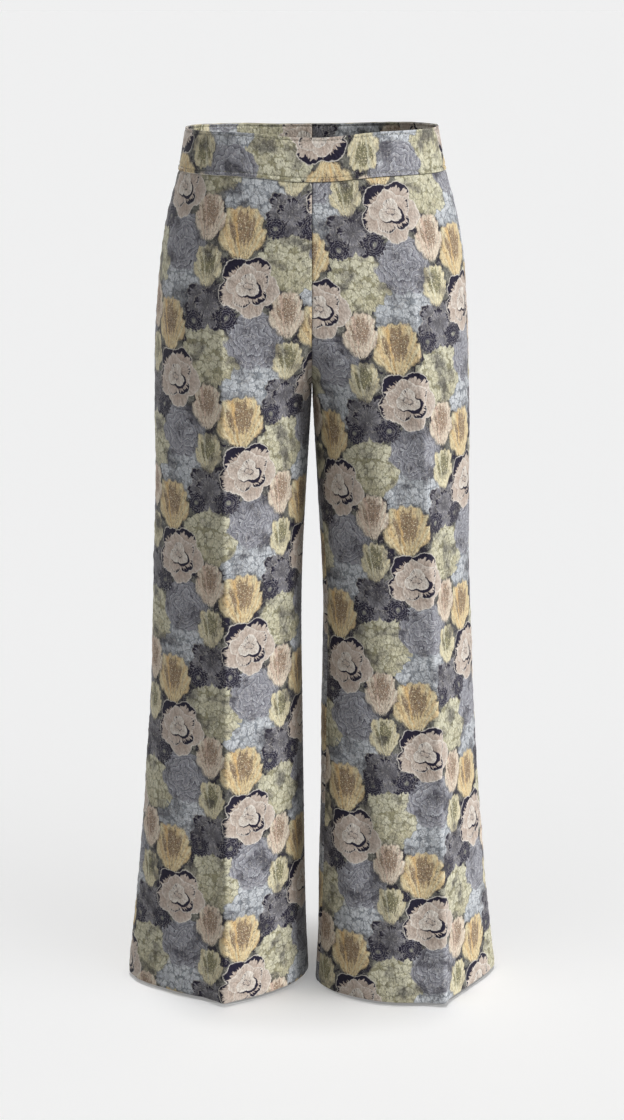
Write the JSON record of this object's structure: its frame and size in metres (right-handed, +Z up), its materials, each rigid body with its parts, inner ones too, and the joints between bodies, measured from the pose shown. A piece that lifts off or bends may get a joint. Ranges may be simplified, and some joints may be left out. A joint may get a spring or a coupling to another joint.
{
  "type": "trousers",
  "caption": "Empty pull-on trousers holding a wearer's form: wide straight legs with pressed creases, a deep shaped waistband and flowered jacquard cloth.",
  "frame": {"origin": "middle of the waist opening, level with the top of the waistband at its sides", "axes": "+Z up, front of the trousers towards -Y, +X towards the wearer's left"},
  "size_m": [0.4586, 0.2304, 1.0414],
  "materials": {
    "jacquard": "woven flowered jacquard, matt with a soft sheen",
    "jacquard_facing": "the same jacquard, turned to the inside of the waistband"
  },
  "bodies": {
    "root": {"front_left": "jacquard", "front_right": "jacquard", "back_left": "jacquard", "back_right": "jacquard", "waistband_front": "jacquard", "waistband_back_left": "jacquard", "waistband_back_right": "jacquard", "facing_front": "jacquard_facing", "facing_back_left": "jacquard_facing", "facing_back_right": "jacquard_facing"}
  },
  "joints": []
}
